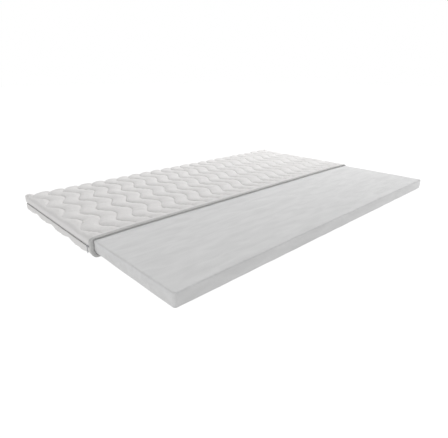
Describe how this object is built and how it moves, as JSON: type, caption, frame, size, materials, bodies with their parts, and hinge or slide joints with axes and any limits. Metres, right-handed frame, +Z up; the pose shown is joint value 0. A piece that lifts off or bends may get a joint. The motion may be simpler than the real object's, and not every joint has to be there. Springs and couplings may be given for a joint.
{
  "type": "foam mattress topper",
  "caption": "Foam slab with soft edges, half inside a wave-quilted fabric cover with rolled borders, a bound mouth and a zip at mid height with a slider and a hanging pull tab.",
  "frame": {"origin": "middle of the whole object's footprint, on the surface that it lies on", "axes": "+X along the long side away from the zip's slider, +Y from the bare front edge of the foam towards the covered back edge, +Z up"},
  "size_m": [2.0381, 1.4179, 0.0803],
  "materials": {
    "foam": "matte",
    "quilted_fabric": "matte",
    "lining_fabric": "matte",
    "zip_tape": "matte",
    "zip_coil": "satin",
    "zip_metal": "satin",
    "binding_fabric": "matte"
  },
  "bodies": {
    "cover": {"upper_quilt": "quilted_fabric", "lower_quilt": "quilted_fabric", "upper_lining": "lining_fabric", "lower_lining": "lining_fabric", "upper_zip_tape": "zip_tape", "lower_zip_tape": "zip_tape", "upper_zip_coil": "zip_coil", "lower_zip_coil": "zip_coil", "upper_zip_stop": "zip_metal", "lower_zip_stop": "zip_metal", "zip_end_stop": "zip_metal", "mouth_binding": "binding_fabric"},
    "core": {"foam_core": "foam"},
    "slider": {"zip_slider": "zip_metal"},
    "pull_link": {"zip_pull_link": "zip_metal"},
    "pull_tab": {"zip_pull_tab": "zip_metal"}
  },
  "joints": [
    {"name": "core_slide", "type": "slide", "parent": "cover", "child": "core", "axis": [0, -1, 0], "range_m": [0, 0.86]},
    {"name": "slider_run", "type": "slide", "parent": "cover", "child": "slider", "axis": [0, 1, 0], "range_m": [0, 0.77]},
    {"name": "link_hinge", "type": "hinge", "parent": "slider", "child": "pull_link", "pos_m": [-1.0187, -0.10774, 0.0403], "axis": [0, 1, 0], "range_deg": [0, 150]},
    {"name": "tab_hinge", "type": "hinge", "parent": "pull_link", "child": "pull_tab", "pos_m": [-1.0187, -0.10774, 0.0369], "axis": [1, 0, 0], "range_deg": [-57, 57]}
  ]
}
